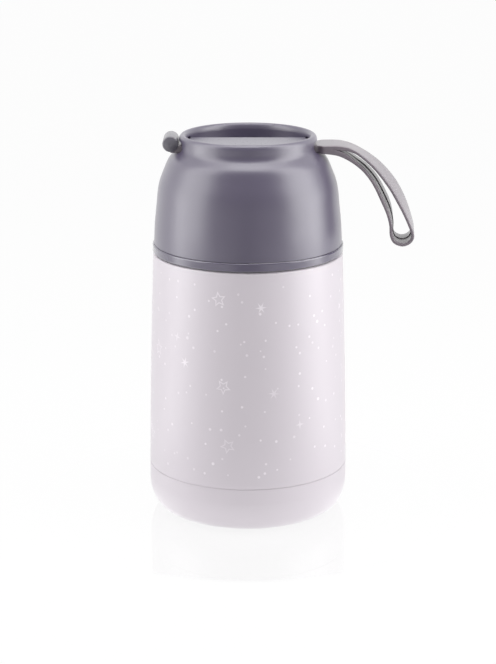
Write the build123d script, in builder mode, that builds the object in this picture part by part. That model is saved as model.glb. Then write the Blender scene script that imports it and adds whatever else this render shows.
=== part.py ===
"""Insulated food jar: vacuum vessel, screw stopper with a vent, and a cup lid with a carrying strap.

Millimetres. The origin is on the resting plane, on the jar's axis. +Z is up, and the strap hangs
towards +X.
"""
from build123d import *
import os

os.makedirs("parts", exist_ok=True)

# ---- driving dimensions -------------------------------------------------------------------------
# jar body
foot_r = 42.7  # flat that the jar stands on
widest_r = 52.4  # widest part of the body, just above the rounded bottom edge
widest_z = 16.0
barrel_r = 51.3  # body radius at mid height: the wall is slightly barrelled
barrel_z = 78.0
shoulder_r = 49.4  # body radius under the collar
shoulder_z = 138.2
seam_z = 24.3  # joint between the base cup and the outer shell
seam_gap = 0.15
seam_round = 0.35  # rolled lower edge of the outer shell
steel = 0.8  # wall of the pressed steel parts
base_wall = 0.9
spigot_rise = 6.0  # how far the base cup's spigot reaches above the seam
fit_clear = 0.1  # between metal parts that are pushed together and bonded
shoulder_round = 0.9  # rounded top edge of the painted body
groove_r = 30.0  # shallow pressed ring in the underside
groove_depth = 0.4

# neck and mouth
neck_r = 40.4  # inside of the neck, where the stopper screws in
neck_gap = 1.0  # vacuum between the two walls of the neck
mouth_z = 152.0
ledge_r = 38.4  # sealing ledge in the neck
ledge_z = 135.2
vessel_r = 42.6  # inside of the food vessel
vessel_floor_z = 12.0
vessel_corner = 12.0
vessel_side_z = 128.0  # where the vessel starts to narrow to the ledge
shoulder_bend = 4.0
ledge_low_z = 133.2
rim_round = 0.3

# collar band
band_r = 49.7
band_bottom_z = 138.9
band_top_z = 143.1
sleeve_r = 45.8
sleeve_top_z = 151.0
band_top_round = 0.7
band_bottom_round = 0.5
sleeve_round = 0.6
seal_recess = 1.0  # how far the seal sits back from the painted body

# screw threads, three starts each, one lead for the lid and the stopper
lead = 12.0  # rise in one full turn
starts = 3
ridge_arc = 100.0  # degrees that one ridge covers
ridge_height = 1.0
ridge_root = 1.5  # width of a ridge at its wall
ridge_tip = 0.8
ridge_bite = 0.3  # how far a ridge is sunk into its wall
thread_play = 0.25  # between the loaded flanks
thread_shift = 10.0  # degrees that a lid or stopper ridge starts after its partner
collar_thread_z = 145.6
neck_thread_z = 142.0

# cup lid
lid_bottom_z = 143.25
lid_bottom_r = 48.95
skirt_inner_r = 47.1
ring_r = 35.5  # outside of the foot ring on top of the lid
ring_inner_r = 31.6
ring_top_z = 199.9
ring_root_z = 194.6  # where the ring's straight wall starts
recess_z = 191.0
roof_z = 188.6  # underside of the recess floor
lip_outer_height = 2.4  # the lip is a half oval, lower outside than inside
lip_inner_height = 3.1
dome_points = [
    (lid_bottom_r, lid_bottom_z),
    (48.45, 153.5),
    (47.35, 164.6),
    (45.75, 175.6),
    (43.1, 182.6),
    (40.3, 188.1),
    (37.6, 190.7),
    (ring_r, ring_root_z),
]
dome_start = (-0.03, 1)  # direction in which the dome's outline leaves its bottom edge
inner_dome_points = [
    (36.0, roof_z),
    (39.0, 186.4),
    (41.4, 181.6),
    (43.9, 173.0),
    (45.55, 163.0),
    (46.75, 153.5),
    (skirt_inner_r, 149.6),
]
inner_dome_start = (1, -0.3)

# strap, bridge and slots
strap_half = 9.8  # half of the strap's width
strap_thick = 3.8  # where its two plies are one
strap_round = 1.2
ply = 1.5
strap_z = 193.2  # middle of the strap in the slots
strap_pivot_x = 38.0
strap_slit_x = 45.5  # where the two plies part
loop_reach = 60.0
loop_steps = 14
anchor_end_x = 35.8
upper_points = [
    (44.0, strap_z + strap_thick / 2),
    (60.3, 189.2),
    (68.2, 182.6),
    (76.0, 171.9),
    (81.2, 162.9),
    (84.8, 154.3),
    (86.6, 148.6),
]
upper_end = (0.1, -1)
loop_bottom = (80.3, 142.9)
lower_points = [(74.0, 148.6), (72.4, 160.4), (65.4, 174.9), (57.0, 184.6), (44.9, 190.35)]
lower_start = (-0.05, 1)
lower_lean = 0.03
bead_r = 4.05
bead_x = -39.75
bead_z = 195.9
bead_half = 9.65
bead_round = 0.9
slot_half = 11.4
slot_bottom_z = 191.2
slot_top_z = 197.0
bridge_half = 11.5
bridge_top_z = 196.0
bridge_wall = 0.8
bridge_round = 0.4
bridge_clear = 0.15

# lid liner and insulation
liner_wall = 1.2
liner_roof_z = 178.5
liner_points = [(46.1, 151.6), (45.9, 155.5), (44.9, 163.5), (43.0, 171.5), (39.6, 176.6), (34.0, liner_roof_z)]
liner_leans = [(1, 0), (1, 0.05), (0.98, 0.15), (0.9, 0.4), (0.6, 0.8), (0, 1)]  # inward normals
pad_r = 34.0
pad_bottom_z = 185.3
pad_top_z = 188.3
pad_round = 0.6

# stopper
plug_r = 37.6
plug_bottom_z = 127.5
plug_wall = 1.6
plug_floor = 1.8
plug_round = 1.2
plug_shoulder_z = 137.4
stopper_r = 39.1
flange_r = 43.4
flange_bottom_z = 152.5
flange_top_z = 155.0
cap_r = 42.4
cap_top_z = 158.8
flange_round = 0.8
cap_round = 1.2
grip_count = 24
grip_r = 1.6
grip_offset = 0.5
centring_r = 35.7
centring_wall = 1.5
centring_z = 151.2
gasket_bore_r = 37.9
gasket_waist_r = 38.9
gasket_r = 39.2
gasket_bottom_z = 135.35
gasket_top_z = 137.15
gasket_lip = 0.5
foam_bottom_z = 136.3
foam_top_z = 150.0
foam_clear = 0.7

# vent
button_r = 8.9
button_bottom_z = 155.6
button_top_z = 163.5
button_wall = 1.4
button_round = 1.6
button_hole_r = 9.3
stem_r = 3.2
stem_bottom_z = 123.9
stem_flange_r = 5.6
stem_flange = 1.2
stem_hole_r = 3.9
tube_r = 7.0
tube_bore_r = 4.6
tube_top_z = 146.0
spring_bottom_z = 146.5
spring_r = 5.8
spring_wire_r = 0.4
spring_turns = 6
seal_r = 7.3
seal_round = 0.4
seal_clear = 0.2

# vacuum space
foil_thick = 0.3
foil_bottom_z = 27.0
foil_top_z = 124.0
foil_clear = 0.3
pan_z = 5.0
pan_top_z = 29.0
pan_corner = 13.0
hole_r = 2.0
plug_seal_r = 4.5
plug_seal_thick = 1.4
getter_x = 20.0
getter_r = 5.0
getter_thick = 2.0


def body_radius(z):
    """Radius of the barrelled wall at one height, by the parabola through its three given radii."""
    low = widest_r * (z - barrel_z) * (z - shoulder_z) / (widest_z - barrel_z) / (widest_z - shoulder_z)
    middle = barrel_r * (z - widest_z) * (z - shoulder_z) / (barrel_z - widest_z) / (barrel_z - shoulder_z)
    high = shoulder_r * (z - widest_z) * (z - barrel_z) / (shoulder_z - widest_z) / (shoulder_z - barrel_z)
    return low + middle + high


# ---- values that follow from the ones above -----------------------------------------------------
weld_z = mouth_z - steel
under_shoulder_z = shoulder_z - steel
shell_bottom_z = seam_z + seam_gap
lip_r = (ring_r + ring_inner_r) / 2  # crest of the foot ring's lip
lip_half = (ring_r - ring_inner_r) / 2
outer_neck_r = neck_r + steel + neck_gap + steel
rim_r = outer_neck_r + steel
collar_bore_r = outer_neck_r + fit_clear
spigot_r = body_radius(seam_z) - steel - fit_clear
spigot_inner_r = spigot_r - base_wall
spigot_top_z = seam_z + spigot_rise
pan_r = spigot_inner_r - fit_clear
foil_r = vessel_r + steel + foil_clear
plug_inner_r = plug_r - plug_wall
thread_rise = lead * thread_shift / 360
partner_drop = ridge_root + thread_play  # from a fixed ridge down to the ridge that bears on it
spring_pitch = (button_top_z - button_wall - spring_bottom_z - 2 * spring_wire_r) / spring_turns


def body_arc(inset, low_z, high_z):
    """Edge of the barrelled wall between two heights, moved in by inset."""
    heights = (low_z, (low_z + high_z) / 2, high_z)
    return ThreePointArc(*[(body_radius(z) - inset, z) for z in heights])


def outline(*corners):
    """Closed outline in the active BuildLine, through corners given as (x, y, corner radius)."""
    FilletPolyline([corner[:2] for corner in corners], radius=[corner[2] for corner in corners], close=True)


def vessel_outline(grow):
    """Half section of the food vessel's space, moved outwards by grow."""
    outline(
        (0, vessel_floor_z - grow, 0),
        (vessel_r + grow, vessel_floor_z - grow, vessel_corner + grow),
        (vessel_r + grow, vessel_side_z, shoulder_bend),
        (ledge_r + grow, ledge_low_z, 0),
        (ledge_r + grow, ledge_z - grow, 0),
        (neck_r + grow, ledge_z - grow, 0),
        (neck_r + grow, mouth_z, 0),
        (0, mouth_z, 0),
    )


def inset_points(edge):
    """Points along an edge, each moved one ply's thickness to the edge's right."""
    shares = [step / loop_steps for step in range(loop_steps + 1)]
    return [(edge @ share) + (edge % share).rotate(Axis.Z, -90) * ply for share in shares]


def ridge(wall_r, start_z, side):
    """One helical thread ridge on a wall of radius wall_r; side is 1 outwards and -1 inwards."""
    rise = lead * ridge_arc / 360
    path = Edge.make_helix(lead, rise, wall_r, (0, 0, start_z))
    with BuildPart(mode=Mode.PRIVATE) as swept:
        with BuildSketch(Plane(origin=path @ 0, x_dir=(1, 0, 0), z_dir=path % 0)):
            with BuildLine():
                outline(
                    (-side * ridge_bite, -ridge_root / 2, 0),
                    (side * ridge_height, -ridge_tip / 2, 0),
                    (side * ridge_height, ridge_tip / 2, 0),
                    (-side * ridge_bite, ridge_root / 2, 0),
                )
            make_face()
        sweep(path=path, is_frenet=True)
    return swept.part


# ---- jar ----------------------------------------------------------------------------------------
# Base cup: painted steel cup below the seam, with a spigot that reaches up inside the outer shell.
with BuildPart() as base_cup:
    with BuildSketch(Plane.XZ):
        with BuildLine():
            edge = EllipticalCenterArc((foot_r, widest_z), widest_r - foot_r, widest_z, 270, arc_size=90)
            Polyline(
                edge @ 1,
                (body_radius(seam_z), seam_z),
                (spigot_r, seam_z),
                (spigot_r, spigot_top_z),
                (spigot_inner_r, spigot_top_z),
                (spigot_inner_r, widest_z),
            )
            EllipticalCenterArc(
                (foot_r, widest_z), spigot_inner_r - foot_r, widest_z - base_wall, 270, arc_size=90
            )
            Polyline((foot_r, base_wall), (0, base_wall), (0, 0), edge @ 0)
        make_face()
    revolve(axis=Axis.Z)
    with BuildSketch(Plane.XZ):
        with Locations((groove_r, 0)):
            Circle(groove_depth)
    revolve(axis=Axis.Z, mode=Mode.SUBTRACT)
base_cup.part.label = "base_cup"

# Outer shell: barrelled wall, flat shoulder under the collar, and the outer wall of the neck.
with BuildPart() as outer_shell:
    with BuildSketch(Plane.XZ):
        with BuildLine():
            outside = body_arc(0, shell_bottom_z + seam_round, shoulder_z - shoulder_round)
            rolled = TangentArc(
                outside @ 0,
                (body_radius(shell_bottom_z) - seam_round, shell_bottom_z),
                tangent=(outside % 0) * -1,
            )
            TangentArc(outside @ 1, (shoulder_r - shoulder_round, shoulder_z), tangent=outside % 1)
            Polyline(
                (shoulder_r - shoulder_round, shoulder_z),
                (outer_neck_r, shoulder_z),
                (outer_neck_r, weld_z),
                (outer_neck_r - steel, weld_z),
                (outer_neck_r - steel, under_shoulder_z),
                (body_radius(under_shoulder_z) - steel, under_shoulder_z),
            )
            inside = body_arc(steel, shell_bottom_z, under_shoulder_z)
            Line(inside @ 0, rolled @ 1)
        make_face()
    revolve(axis=Axis.Z)
outer_shell.part.label = "outer_shell"

# Inner vessel: food space with a sealing ledge, a neck with formed thread ridges, and a rim that
# closes the vacuum space over the outer neck.
with BuildPart() as inner_vessel:
    with BuildSketch(Plane.XZ):
        with BuildLine():
            vessel_outline(steel)
        make_face()
        with BuildLine():
            vessel_outline(0)
        make_face(mode=Mode.SUBTRACT)
    revolve(axis=Axis.Z)
    with BuildSketch(Plane.XY.offset(weld_z)):
        Circle(rim_r)
        Circle(neck_r, mode=Mode.SUBTRACT)
    extrude(amount=steel)
    fillet(inner_vessel.edges().group_by(Axis.Z)[-1], rim_round)
    with PolarLocations(0, starts):
        add(ridge(neck_r, neck_thread_z, -1))
inner_vessel.part.label = "inner_vessel"

# Foil wrapped round the vessel in the vacuum space.
with BuildPart() as reflective_foil:
    with BuildSketch(Plane.XY.offset(foil_bottom_z)):
        Circle(foil_r + foil_thick)
        Circle(foil_r, mode=Mode.SUBTRACT)
    extrude(amount=foil_top_z - foil_bottom_z)
reflective_foil.part.label = "reflective_foil"

# Outer bottom: pan that closes the vacuum space, with the evacuation hole in its middle.
with BuildPart() as outer_bottom:
    with BuildSketch(Plane.XZ):
        with BuildLine():
            outline(
                (hole_r, pan_z, 0),
                (pan_r, pan_z, pan_corner),
                (pan_r, pan_top_z, 0),
                (pan_r - steel, pan_top_z, 0),
                (pan_r - steel, pan_z + steel, pan_corner - steel),
                (hole_r, pan_z + steel, 0),
            )
        make_face()
    revolve(axis=Axis.Z)
outer_bottom.part.label = "outer_bottom"

# Vacuum plug: the seal that is melted over the evacuation hole.
with BuildPart() as vacuum_plug:
    with BuildSketch(Plane.XY.offset(pan_z - plug_seal_thick)):
        Circle(plug_seal_r)
    extrude(amount=plug_seal_thick)
    fillet(vacuum_plug.edges().sort_by(Axis.Z)[0], plug_seal_thick / 2)
vacuum_plug.part.label = "vacuum_plug"

# Getter: pellet in a small round, beside the hole in the vacuum space.
with BuildPart() as getter:
    with BuildSketch(Plane.XY.offset(pan_z + steel)):
        with Locations((getter_x, 0)):
            Circle(getter_r)
    extrude(amount=getter_thick)
    chamfer(getter.edges().group_by(Axis.Z)[-1], getter_thick / 4)
getter.part.label = "getter"

# Collar seal: recessed ring between the steel shoulder and the collar.
with BuildPart() as collar_seal:
    with BuildSketch(Plane.XY.offset(shoulder_z)):
        Circle(shoulder_r - seal_recess)
        Circle(collar_bore_r, mode=Mode.SUBTRACT)
    extrude(amount=band_bottom_z - shoulder_z)
collar_seal.part.label = "collar_seal"

# Shoulder collar: the visible band, and a sleeve round the neck with the lid's outside thread.
with BuildPart() as shoulder_collar:
    with BuildSketch(Plane.XZ):
        with BuildLine():
            outline(
                (collar_bore_r, band_bottom_z, 0),
                (band_r, band_bottom_z, band_bottom_round),
                (band_r, band_top_z, band_top_round),
                (sleeve_r, band_top_z, 0),
                (sleeve_r, sleeve_top_z, sleeve_round),
                (collar_bore_r, sleeve_top_z, 0),
            )
        make_face()
    revolve(axis=Axis.Z)
    with PolarLocations(0, starts):
        add(ridge(sleeve_r, collar_thread_z, 1))
shoulder_collar.part.label = "shoulder_collar"

# ---- stopper ------------------------------------------------------------------------------------
# Stopper body: hollow plug with outside thread ridges, a top flange and a middle tube for the vent.
with BuildPart() as stopper_body:
    with BuildSketch(Plane.XZ):
        with BuildLine():
            outline(
                (stem_hole_r, plug_bottom_z, 0),
                (plug_r, plug_bottom_z, plug_round),
                (plug_r, plug_shoulder_z, 0),
                (stopper_r, plug_shoulder_z, 0),
                (stopper_r, flange_bottom_z, 0),
                (flange_r, flange_bottom_z, flange_round),
                (flange_r, flange_top_z, 0),
                (plug_inner_r, flange_top_z, 0),
                (plug_inner_r, plug_bottom_z + plug_floor, plug_round),
                (tube_r, plug_bottom_z + plug_floor, 0),
                (tube_r, tube_top_z, 0),
                (tube_bore_r, tube_top_z, 0),
                (tube_bore_r, plug_bottom_z + plug_floor, 0),
                (stem_hole_r, plug_bottom_z + plug_floor, 0),
            )
        make_face()
    revolve(axis=Axis.Z)
    with PolarLocations(0, starts, start_angle=thread_shift):
        add(ridge(stopper_r, neck_thread_z - partner_drop + thread_rise, 1))
stopper_body.part.label = "stopper_body"

# Stopper cap: ribbed grip disc over the plug, with a ring that centres it in the plug's mouth.
with BuildPart() as stopper_cap:
    with BuildSketch(Plane.XZ):
        with BuildLine():
            outline(
                (button_hole_r, flange_top_z, 0),
                (button_hole_r, cap_top_z, cap_round / 2),
                (cap_r, cap_top_z, cap_round),
                (cap_r, flange_top_z, 0),
                (centring_r, flange_top_z, 0),
                (centring_r, centring_z, 0),
                (centring_r - centring_wall, centring_z, 0),
                (centring_r - centring_wall, flange_top_z, 0),
            )
        make_face()
    revolve(axis=Axis.Z)
    with BuildSketch(Plane.XY.offset(flange_top_z)):
        with PolarLocations(cap_r + grip_offset, grip_count):
            Circle(grip_r)
    extrude(amount=cap_top_z - flange_top_z, mode=Mode.SUBTRACT)
stopper_cap.part.label = "stopper_cap"

# Stopper insulation: foam ring under the cap.
with BuildPart() as stopper_insulation:
    with BuildSketch(Plane.XY.offset(foam_bottom_z)):
        Circle(plug_inner_r - foam_clear)
        Circle(tube_r + foam_clear, mode=Mode.SUBTRACT)
    extrude(amount=foam_top_z - foam_bottom_z)
stopper_insulation.part.label = "stopper_insulation"

# Stopper gasket: silicone ring round the plug, with two lips, over the ledge.
with BuildPart() as stopper_gasket:
    with BuildSketch(Plane.XZ):
        with BuildLine():
            outline(
                (gasket_bore_r, gasket_bottom_z, 0),
                (gasket_waist_r, gasket_bottom_z, 0),
                (gasket_waist_r, gasket_bottom_z + gasket_lip, 0),
                (gasket_r, gasket_top_z - gasket_lip, 0),
                (gasket_r, gasket_top_z, gasket_lip / 2),
                (gasket_bore_r, gasket_top_z, 0),
            )
        make_face()
    revolve(axis=Axis.Z)
stopper_gasket.part.label = "stopper_gasket"

# Vent button: cap that is pressed down to let steam out.
with BuildPart() as vent_button:
    with BuildSketch(Plane.XZ):
        with BuildLine():
            outline(
                (0, button_top_z, 0),
                (button_r, button_top_z, button_round),
                (button_r, button_bottom_z, 0),
                (button_r - button_wall, button_bottom_z, 0),
                (button_r - button_wall, button_top_z - button_wall, 0),
                (0, button_top_z - button_wall, 0),
            )
        make_face()
    revolve(axis=Axis.Z)
vent_button.part.label = "vent_button"

# Vent stem: pin from the button to the seal, with a flange that carries the seal.
with BuildPart() as vent_stem:
    with BuildSketch(Plane.XY.offset(stem_bottom_z)):
        Circle(stem_flange_r)
    extrude(amount=stem_flange)
    with BuildSketch(Plane.XY.offset(stem_bottom_z)):
        Circle(stem_r)
    extrude(amount=button_top_z - button_wall - stem_bottom_z)
vent_stem.part.label = "vent_stem"

# Vent seal: silicone washer on the stem, under the plug's floor.
with BuildPart() as vent_seal:
    with BuildSketch(Plane.XZ):
        with BuildLine():
            outline(
                (stem_r, stem_bottom_z + stem_flange, 0),
                (seal_r, stem_bottom_z + stem_flange, seal_round),
                (seal_r, plug_bottom_z - seal_clear, seal_round),
                (stem_r, plug_bottom_z - seal_clear, 0),
            )
        make_face()
    revolve(axis=Axis.Z)
vent_seal.part.label = "vent_seal"

# Vent spring: coil between the plug's tube and the button.
spring_path = Edge.make_helix(spring_pitch, spring_pitch * spring_turns, spring_r, (0, 0, spring_bottom_z))

with BuildPart() as vent_spring:
    with BuildSketch(Plane(origin=spring_path @ 0, x_dir=(1, 0, 0), z_dir=spring_path % 0)):
        Circle(spring_wire_r)
    sweep(path=spring_path, is_frenet=True)
vent_spring.part.label = "vent_spring"

# ---- cup lid ------------------------------------------------------------------------------------
# Lid shell: dome with inside thread ridges, a foot ring round the recess, and a strap slot each side.
with BuildPart() as lid_shell:
    with BuildSketch(Plane.XZ):
        with BuildLine():
            Spline(dome_points, tangents=[dome_start, (0, 1)])
            Line((ring_r, ring_root_z), (ring_r, ring_top_z - lip_outer_height))
            EllipticalCenterArc(
                (lip_r, ring_top_z - lip_outer_height), lip_half, lip_outer_height, 0, arc_size=90
            )
            EllipticalCenterArc(
                (lip_r, ring_top_z - lip_inner_height), lip_half, lip_inner_height, 90, arc_size=90
            )
            Polyline(
                (ring_inner_r, ring_top_z - lip_inner_height),
                (ring_inner_r, recess_z),
                (0, recess_z),
                (0, roof_z),
                inner_dome_points[0],
            )
            Spline(inner_dome_points, tangents=[inner_dome_start, (0, -1)])
            Polyline(
                inner_dome_points[-1], (skirt_inner_r, lid_bottom_z), (lid_bottom_r, lid_bottom_z)
            )
        make_face()
    revolve(axis=Axis.Z)
    with BuildSketch(Plane.YZ):
        with Locations((0, (slot_top_z + slot_bottom_z) / 2)):
            SlotOverall(2 * slot_half, slot_top_z - slot_bottom_z)
    extrude(amount=lid_bottom_r, both=True, mode=Mode.SUBTRACT)
    with PolarLocations(0, starts, start_angle=thread_shift):
        add(ridge(skirt_inner_r, collar_thread_z - partner_drop + thread_rise, -1))
lid_shell.part.label = "lid_shell"

# Strap bridge: channel across the recess, which hides the strap.
with BuildPart() as strap_bridge:
    with BuildSketch(Plane.XY.offset(recess_z)):
        Circle(ring_inner_r - bridge_clear)
        Rectangle(2 * ring_inner_r, 2 * bridge_half, mode=Mode.INTERSECT)
    extrude(amount=bridge_top_z - recess_z)
    fillet(strap_bridge.faces().sort_by(Axis.Z)[-1].edges().filter_by(Axis.X), bridge_round)
    with BuildSketch(Plane.YZ):
        with Locations((0, recess_z)):
            Rectangle(
                2 * (bridge_half - bridge_wall),
                2 * (bridge_top_z - bridge_wall - recess_z),
            )
    extrude(amount=ring_inner_r, both=True, mode=Mode.SUBTRACT)
strap_bridge.part.label = "strap_bridge"

# Lid liner: inner bowl of the double-walled lid.
with BuildPart() as lid_liner:
    with BuildSketch(Plane.XZ):
        with BuildLine():
            outer_bowl = Spline(liner_points, tangents=[(0, 1), (-1, 0)])
            inner_bowl = Spline(
                [(r - liner_wall * across, z - liner_wall * up) for (r, z), (across, up)
                 in zip(liner_points, liner_leans)],
                tangents=[(0, 1), (-1, 0)],
            )
            Polyline(outer_bowl @ 1, (0, liner_roof_z), (0, liner_roof_z - liner_wall), inner_bowl @ 1)
            Line(outer_bowl @ 0, inner_bowl @ 0)
        make_face()
    revolve(axis=Axis.Z)
lid_liner.part.label = "lid_liner"

# Lid insulation: foam disc between the lid's two walls.
with BuildPart() as lid_insulation:
    with BuildSketch(Plane.XY.offset(pad_bottom_z)):
        Circle(pad_r)
    extrude(amount=pad_top_z - pad_bottom_z)
    fillet(lid_insulation.edges(), pad_round)
lid_insulation.part.label = "lid_insulation"

# ---- strap --------------------------------------------------------------------------------------
# Strap anchor: flat bar under the bridge, with the round bead that stops it at the left slot.
with BuildPart() as strap_anchor:
    with BuildSketch(Plane.XZ):
        with Locations((bead_x, bead_z)):
            Circle(bead_r)
    extrude(amount=bead_half, both=True)
    fillet(strap_anchor.edges().filter_by(GeomType.CIRCLE), bead_round)
    with BuildSketch(Plane.YZ.offset(bead_x)):
        with Locations((0, strap_z)):
            RectangleRounded(2 * strap_half, strap_thick, strap_round)
    extrude(amount=anchor_end_x - bead_x)
strap_anchor.part.label = "strap_anchor"

# Strap loop: the two plies outside the right slot, joined at the root and by the round loop end.
with BuildSketch() as loop_band:
    with BuildLine():
        root_arc = CenterArc((strap_pivot_x, strap_z), strap_thick / 2, 90, 180)
        upper = Spline([root_arc @ 0, *upper_points], tangents=[(1, 0), upper_end])
        lower = Spline([*lower_points, root_arc @ 1], tangents=[lower_start, (-1, lower_lean)])
        ThreePointArc(upper @ 1, loop_bottom, lower @ 0)
    make_face()

with BuildSketch() as loop_gap:
    with BuildLine():
        inner_upper = Spline(inset_points(upper))
        inner_lower = Spline(inset_points(lower))
        ThreePointArc(inner_upper @ 1, (loop_bottom[0], loop_bottom[1] + ply), inner_lower @ 0)
        Line(inner_lower @ 1, inner_upper @ 0)
    make_face()
    with Locations((strap_slit_x + loop_reach / 2, strap_z)):
        Rectangle(loop_reach, 2 * loop_reach, mode=Mode.INTERSECT)

with BuildPart() as strap_loop:
    with BuildSketch(Plane.XZ):
        add(loop_band.sketch)
    extrude(amount=strap_half, both=True)
    with BuildSketch(Plane.XZ):
        add(loop_gap.sketch)
    extrude(amount=strap_half + ply, both=True, mode=Mode.SUBTRACT)
strap_loop.part.label = "strap_loop"

# ---- files --------------------------------------------------------------------------------------
jar = (
    base_cup,
    outer_shell,
    inner_vessel,
    reflective_foil,
    outer_bottom,
    vacuum_plug,
    getter,
    collar_seal,
    shoulder_collar,
)
stopper = (
    stopper_body,
    stopper_cap,
    stopper_insulation,
    stopper_gasket,
    vent_button,
    vent_stem,
    vent_seal,
    vent_spring,
)
lid = (lid_shell, strap_bridge, lid_liner, lid_insulation, strap_anchor, strap_loop)

for piece in (*jar, *stopper, *lid):
    export_step(piece.part, f"parts/{piece.part.label}.step")
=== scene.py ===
# %% [markdown]
# # An insulated food jar
# The jar is a double-walled steel vessel with a painted body, a screw stopper with a steam vent,
# and a domed lid that turns over into a bowl. A silicone strap runs through the lid's foot ring.
# The solid pieces come from the CAD model, in metres and in their places, so this script dresses
# them: it gives each one its finish, makes the soft strap, and sets up the light and the camera.

# %% Load the solid model
import math
import bmesh
import bpy
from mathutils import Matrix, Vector


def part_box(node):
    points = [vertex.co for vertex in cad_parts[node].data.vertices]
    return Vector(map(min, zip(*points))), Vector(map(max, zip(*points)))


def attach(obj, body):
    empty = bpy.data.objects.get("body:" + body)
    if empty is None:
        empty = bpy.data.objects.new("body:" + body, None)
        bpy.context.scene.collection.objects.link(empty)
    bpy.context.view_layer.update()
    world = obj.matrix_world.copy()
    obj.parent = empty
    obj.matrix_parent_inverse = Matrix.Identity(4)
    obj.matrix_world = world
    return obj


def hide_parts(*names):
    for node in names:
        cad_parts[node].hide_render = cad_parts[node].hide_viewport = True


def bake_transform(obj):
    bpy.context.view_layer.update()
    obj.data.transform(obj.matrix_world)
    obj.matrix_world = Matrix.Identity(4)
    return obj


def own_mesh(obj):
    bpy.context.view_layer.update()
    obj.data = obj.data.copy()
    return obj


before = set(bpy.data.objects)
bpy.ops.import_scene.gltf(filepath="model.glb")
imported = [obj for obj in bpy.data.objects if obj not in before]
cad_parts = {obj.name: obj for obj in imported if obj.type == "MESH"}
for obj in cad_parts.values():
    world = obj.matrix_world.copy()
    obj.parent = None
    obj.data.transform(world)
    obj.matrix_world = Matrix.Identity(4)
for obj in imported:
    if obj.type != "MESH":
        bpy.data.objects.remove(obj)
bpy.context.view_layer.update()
MM = 0.001
print("pieces in the solid model:", len(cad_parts))

# %% [markdown]
# ## Where the main features lie
# The heights and radii of the solid pieces are read from the frame, so the finishes follow the
# solids if those change. A box gives the lowest and the highest corner of a piece.

# %% Measure the solids
shell_low, shell_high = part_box("outer_shell")
lid_low, lid_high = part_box("lid_shell")
body_radius = shell_high.x
print(f"body {2 * body_radius / MM:.1f} mm across")
print(f"lid from {lid_low.z / MM:.1f} to {lid_high.z / MM:.1f} mm")

# %% [markdown]
# ## The camera
# A long lens from a little over a metre away shows the jar the way a catalogue does: from slightly
# above, with only a little perspective. The lens looks straight at the jar, without any shift.
# Every piece added to Blender has to be linked to the scene, so one helper does that each time.

# %% Place the camera
CAMERA_DISTANCE = 1.050
CAMERA_HEIGHT = 0.38856
CAMERA_PITCH = math.radians(15.67)
LENS = 111.96


def add_object(name, data):
    """Puts a camera, lamp or mesh into the scene as an object."""
    thing = bpy.data.objects.new(name, data)
    bpy.context.scene.collection.objects.link(thing)
    return thing


lens_data = bpy.data.cameras.new("camera")
lens_data.lens = LENS
camera = add_object("camera", lens_data)
camera.location = (0, -CAMERA_DISTANCE, CAMERA_HEIGHT)
camera.rotation_euler = (math.pi / 2 - CAMERA_PITCH, 0, 0)
bpy.context.scene.camera = camera
print("camera", tuple(round(v, 3) for v in camera.location), "lens", LENS)

# %% [markdown]
# ## Helpers for node materials
# Every finish below is a node tree on the Principled shader. Nodes could be placed by hand in the
# shader editor, but a script that adds them can be read and changed in one place. The first
# helpers start a material, set a socket, and add a node with its settings and wires. Colours and
# roughness that are the same all over go straight onto the shader's own sockets.

# %% Helpers that make materials and nodes
def shader_of(material):
    """The material's Principled shader."""
    return material.node_tree.nodes["Principled BSDF"]


def new_finish(name, colour, roughness, **sockets):
    """A material whose constants sit on its Principled shader."""
    material = bpy.data.materials.new(name)
    material.use_nodes = True
    shader = shader_of(material)
    shader.inputs["Base Color"].default_value = (*colour, 1)
    shader.inputs["Roughness"].default_value = roughness
    for socket, value in sockets.items():
        shader.inputs[socket.replace("_", " ")].default_value = value
    return material


def feed(material, node, socket, value):
    """Sets a socket to a number or a vector, or wires another node's output to it."""
    if isinstance(value, bpy.types.NodeSocket):
        material.node_tree.links.new(value, node.inputs[socket])
    else:
        node.inputs[socket].default_value = value


def add_node(material, kind, inputs=(), **settings):
    """Adds a node; inputs is a list of (socket, value) and settings are its own options."""
    node = material.node_tree.nodes.new(kind)
    for name, value in settings.items():
        setattr(node, name, value)
    for socket, value in inputs:
        feed(material, node, socket, value)
    return node


def dress(material, **wires):
    """Wires outputs to the material's shader, such as Base_Color=... or Roughness=..."""
    shader = shader_of(material)
    for socket, output in wires.items():
        material.node_tree.links.new(output, shader.inputs[socket.replace("_", " ")])


print("material helpers ready")

# %% [markdown]
# The next helpers are the steps that the recipes are made of: a sum, a smooth ramp, the place of
# a point, random noise, a colour between two colours, and a surface relief.

# %% Helpers for the steps of a recipe
def step(material, operation, *values):
    """One math step on numbers or outputs, giving an output."""
    node = add_node(material, "ShaderNodeMath", list(enumerate(values)), operation=operation)
    return node.outputs[0]


def fade(material, value, low, high, to_low=0.0, to_high=1.0):
    """A smooth ramp: to_low where value is below low, and to_high above high."""
    ramp = add_node(material, "ShaderNodeMapRange", interpolation_type="SMOOTHSTEP")
    feed(material, ramp, "Value", value)
    feed(material, ramp, "From Min", low)
    feed(material, ramp, "From Max", high)
    feed(material, ramp, "To Min", to_low)
    feed(material, ramp, "To Max", to_high)
    return ramp.outputs["Result"]


def place(material):
    """The point's own position on the object, in metres."""
    return add_node(material, "ShaderNodeTexCoord").outputs["Object"]


def split(material, vector):
    """The X, Y and Z of a vector."""
    return add_node(material, "ShaderNodeSeparateXYZ", [("Vector", vector)]).outputs


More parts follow.
